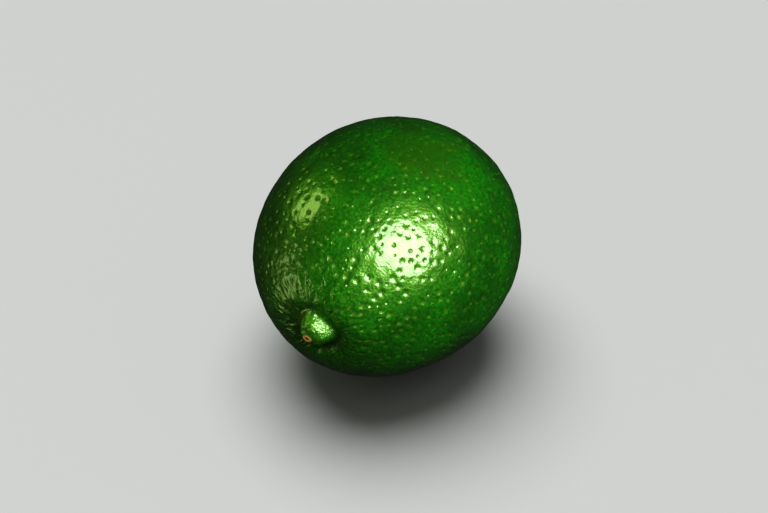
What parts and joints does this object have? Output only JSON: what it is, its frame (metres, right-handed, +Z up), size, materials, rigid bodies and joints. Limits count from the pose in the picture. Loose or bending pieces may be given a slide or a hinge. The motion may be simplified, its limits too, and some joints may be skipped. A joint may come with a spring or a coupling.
{
  "type": "lime",
  "caption": "Whole green lime lying on its side on a small flat spot, with a furrowed nipple at the blossom end and a dry calyx button in the stem dimple.",
  "frame": {"origin": "centre of the bounding box at the ground, under the middle of the fruit on its resting flat", "axes": "+Z up; X along the fruit's long axis, blossom end (nipple) toward -X and stem end toward +X; +Y to the side"},
  "size_m": [0.066, 0.055, 0.0514],
  "materials": {
    "lime_peel": "waxy dark green citrus peel, glossy, finely pitted with oil glands",
    "dry_calyx": "dry woody brown-green calyx, matte"
  },
  "bodies": {
    "root": {"fruit": "lime_peel", "calyx_button": "dry_calyx"}
  },
  "joints": []
}
